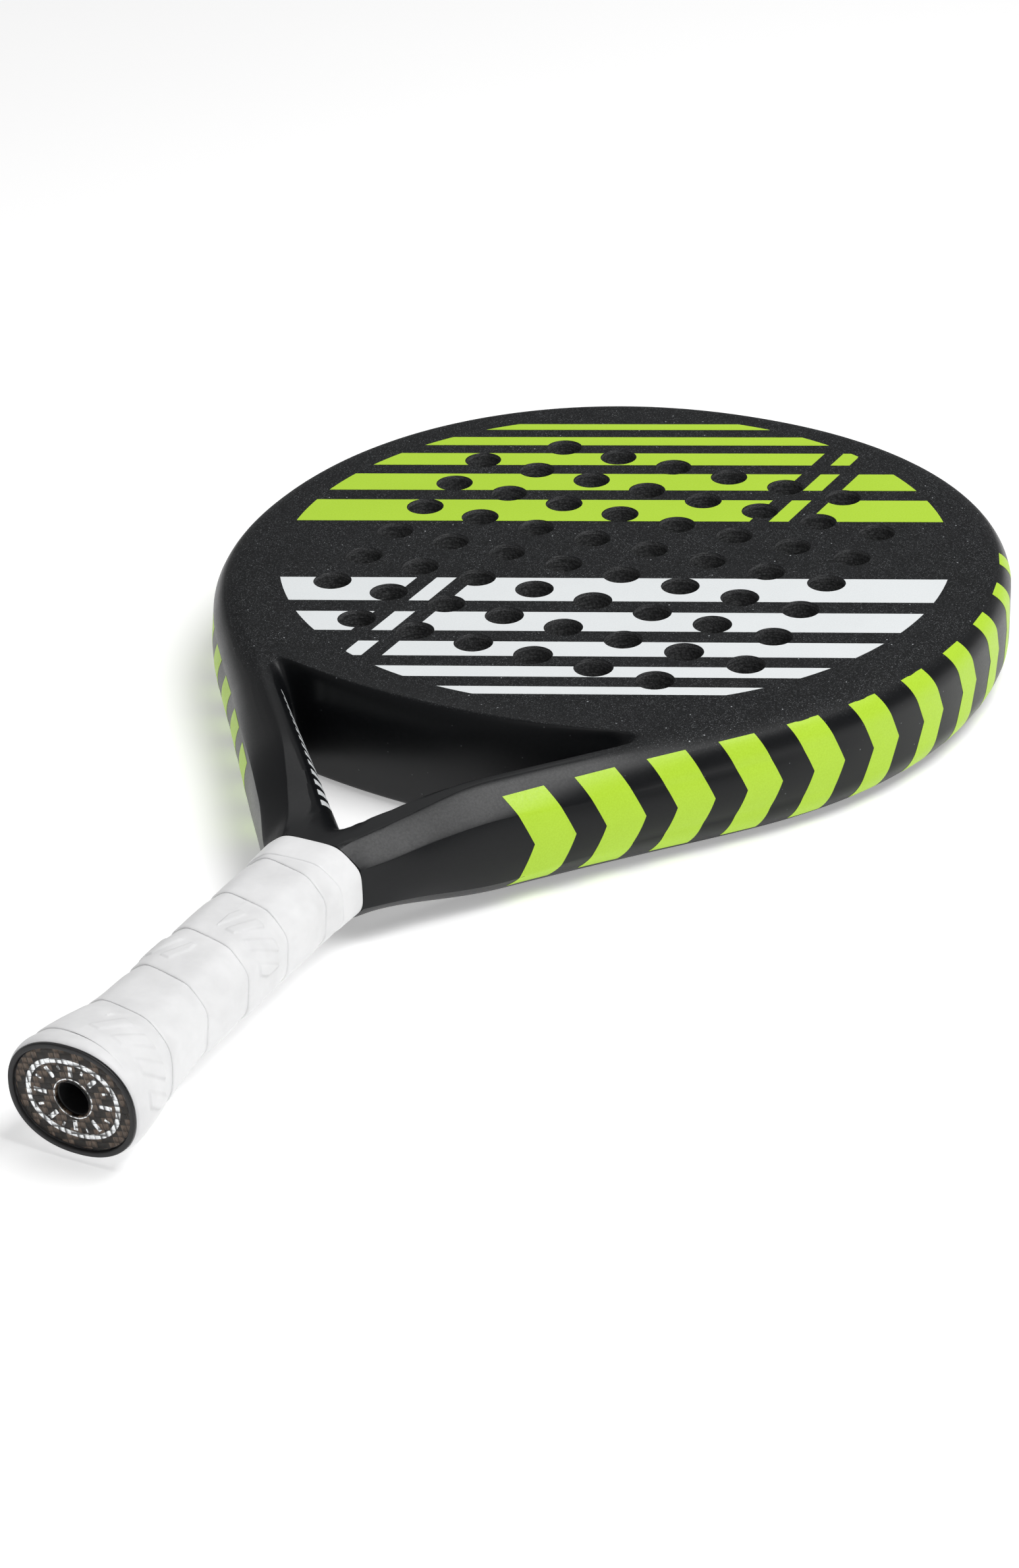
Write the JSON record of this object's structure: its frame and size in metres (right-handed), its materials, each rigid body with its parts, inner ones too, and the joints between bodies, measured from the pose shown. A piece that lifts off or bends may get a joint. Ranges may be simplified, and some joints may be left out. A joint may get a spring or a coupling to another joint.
{
  "type": "padel racket",
  "caption": "Padel racket with a drilled round foam-cored head, a tubular frame with an open triangular throat, and a wrapped octagonal handle ending in a flared butt cap.",
  "frame": {"origin": "under the middle of the bounding box, on the plane of the rear face the racket lies on", "axes": "+X across the head, +Y along the racket from butt to tip, +Z from the rear face to the front face"},
  "size_m": [0.2586, 0.455, 0.038],
  "materials": {
    "carbon_paint": "satin black lacquer over carbon laminate",
    "face_paint": "rough black lacquer with fine pale glitter",
    "eva_foam": "cut closed-cell foam",
    "filler_foam": "moulded light foam",
    "pallet_foam": "rigid moulded foam",
    "cap_rubber": "matt black",
    "badge_twill": "woven laminate",
    "clear_resin": "clear, polished",
    "chrome_trim": "bright",
    "tack_steel": "bright drawn",
    "underlay": "soft black cushion wrap",
    "grip_white": "matt white tacky polymer",
    "finish_white": "smooth white stretch tape"
  },
  "bodies": {
    "root": {"frame_tube": "carbon_paint", "frame_foam": "filler_foam", "throat_bridge": "carbon_paint", "bridge_foam": "filler_foam", "throat_gusset": "carbon_paint", "core_foam": "eva_foam", "face_sheet_front": "face_paint", "face_sheet_rear": "face_paint", "handle_core": "pallet_foam", "pallet_front": "pallet_foam", "pallet_rear": "pallet_foam", "butt_cap": "cap_rubber", "cap_tack_front": "tack_steel", "cap_tack_rear": "tack_steel", "cord_bush": "cap_rubber", "badge_disc": "badge_twill", "badge_emblem": "chrome_trim", "badge_dome": "clear_resin", "grip_base": "underlay", "grip_tape": "grip_white", "finishing_tape": "finish_white"}
  },
  "joints": []
}
